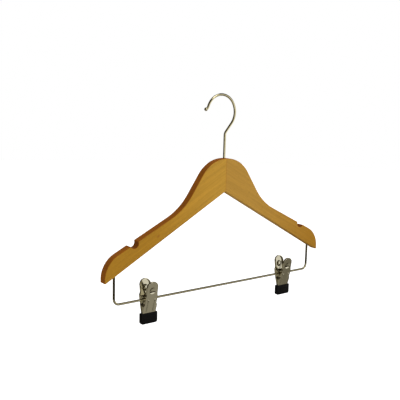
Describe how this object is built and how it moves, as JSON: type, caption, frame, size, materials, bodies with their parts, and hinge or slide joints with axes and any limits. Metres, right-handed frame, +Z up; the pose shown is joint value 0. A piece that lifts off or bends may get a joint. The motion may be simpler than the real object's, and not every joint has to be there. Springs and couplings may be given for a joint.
{
  "type": "skirt hanger",
  "caption": "Wooden clothes hanger with sloping shoulders, a swivel wire hook, strap notches and a wire bar with sliding spring clips for a skirt or trousers.",
  "frame": {"origin": "the rail seat: the highest point inside the hook's loop, where the hanger hangs from a rail", "axes": "+X along the bar to the right seen from the front, +Y from the front to the back, +Z up"},
  "size_m": [0.3808, 0.0238, 0.306],
  "materials": {
    "lacquered_wood": "satin lacquer",
    "plated_wire": "bright plated",
    "plated_sheet": "bright plated",
    "spring_steel": "drawn wire",
    "soft_vinyl": "dipped, matt"
  },
  "bodies": {
    "hook": {"hook": "plated_wire"},
    "frame": {"left_shoulder": "lacquered_wood", "right_shoulder": "lacquered_wood", "hook_washer": "plated_wire", "clip_bar": "plated_wire"},
    "left_clip_sleeve": {"left_clip_sleeve": "plated_sheet"},
    "left_clip_rear": {"left_clip_rear_lever": "plated_sheet", "left_clip_rear_pad": "soft_vinyl", "left_clip_spring": "spring_steel"},
    "left_clip_front": {"left_clip_front_lever": "plated_sheet", "left_clip_front_pad": "soft_vinyl"},
    "right_clip_sleeve": {"right_clip_sleeve": "plated_sheet"},
    "right_clip_rear": {"right_clip_rear_lever": "plated_sheet", "right_clip_rear_pad": "soft_vinyl", "right_clip_spring": "spring_steel"},
    "right_clip_front": {"right_clip_front_lever": "plated_sheet", "right_clip_front_pad": "soft_vinyl"}
  },
  "joints": [
    {"name": "hook_swivel", "type": "hinge", "parent": "hook", "child": "frame", "pos_m": [0.0073, 0, -0.07235], "axis": [0, 0, 1], "continuous": true},
    {"name": "left_clip_slide", "type": "slide", "parent": "frame", "child": "left_clip_sleeve", "axis": [1, 0, 0], "range_m": [-0.032, 0.108]},
    {"name": "left_clip_swing", "type": "hinge", "parent": "left_clip_sleeve", "child": "left_clip_rear", "pos_m": [-0.1142, 0, -0.26875], "axis": [1, 0, 0], "continuous": true},
    {"name": "left_clip_open", "type": "hinge", "parent": "left_clip_rear", "child": "left_clip_front", "pos_m": [-0.1142, 0, -0.26875], "axis": [-1, 0, 0], "range_deg": [0, 37], "stiffness_Nm_per_rad": 0.1, "springref_deg": -20.05, "deforming": ["left_clip_spring"]},
    {"name": "right_clip_slide", "type": "slide", "parent": "frame", "child": "right_clip_sleeve", "axis": [1, 0, 0], "range_m": [-0.1096, 0.0304]},
    {"name": "right_clip_swing", "type": "hinge", "parent": "right_clip_sleeve", "child": "right_clip_rear", "pos_m": [0.1309, 0, -0.26875], "axis": [1, 0, 0], "continuous": true},
    {"name": "right_clip_open", "type": "hinge", "parent": "right_clip_rear", "child": "right_clip_front", "pos_m": [0.1309, 0, -0.26875], "axis": [-1, 0, 0], "range_deg": [0, 37], "stiffness_Nm_per_rad": 0.1, "springref_deg": -20.05, "deforming": ["right_clip_spring"]}
  ]
}
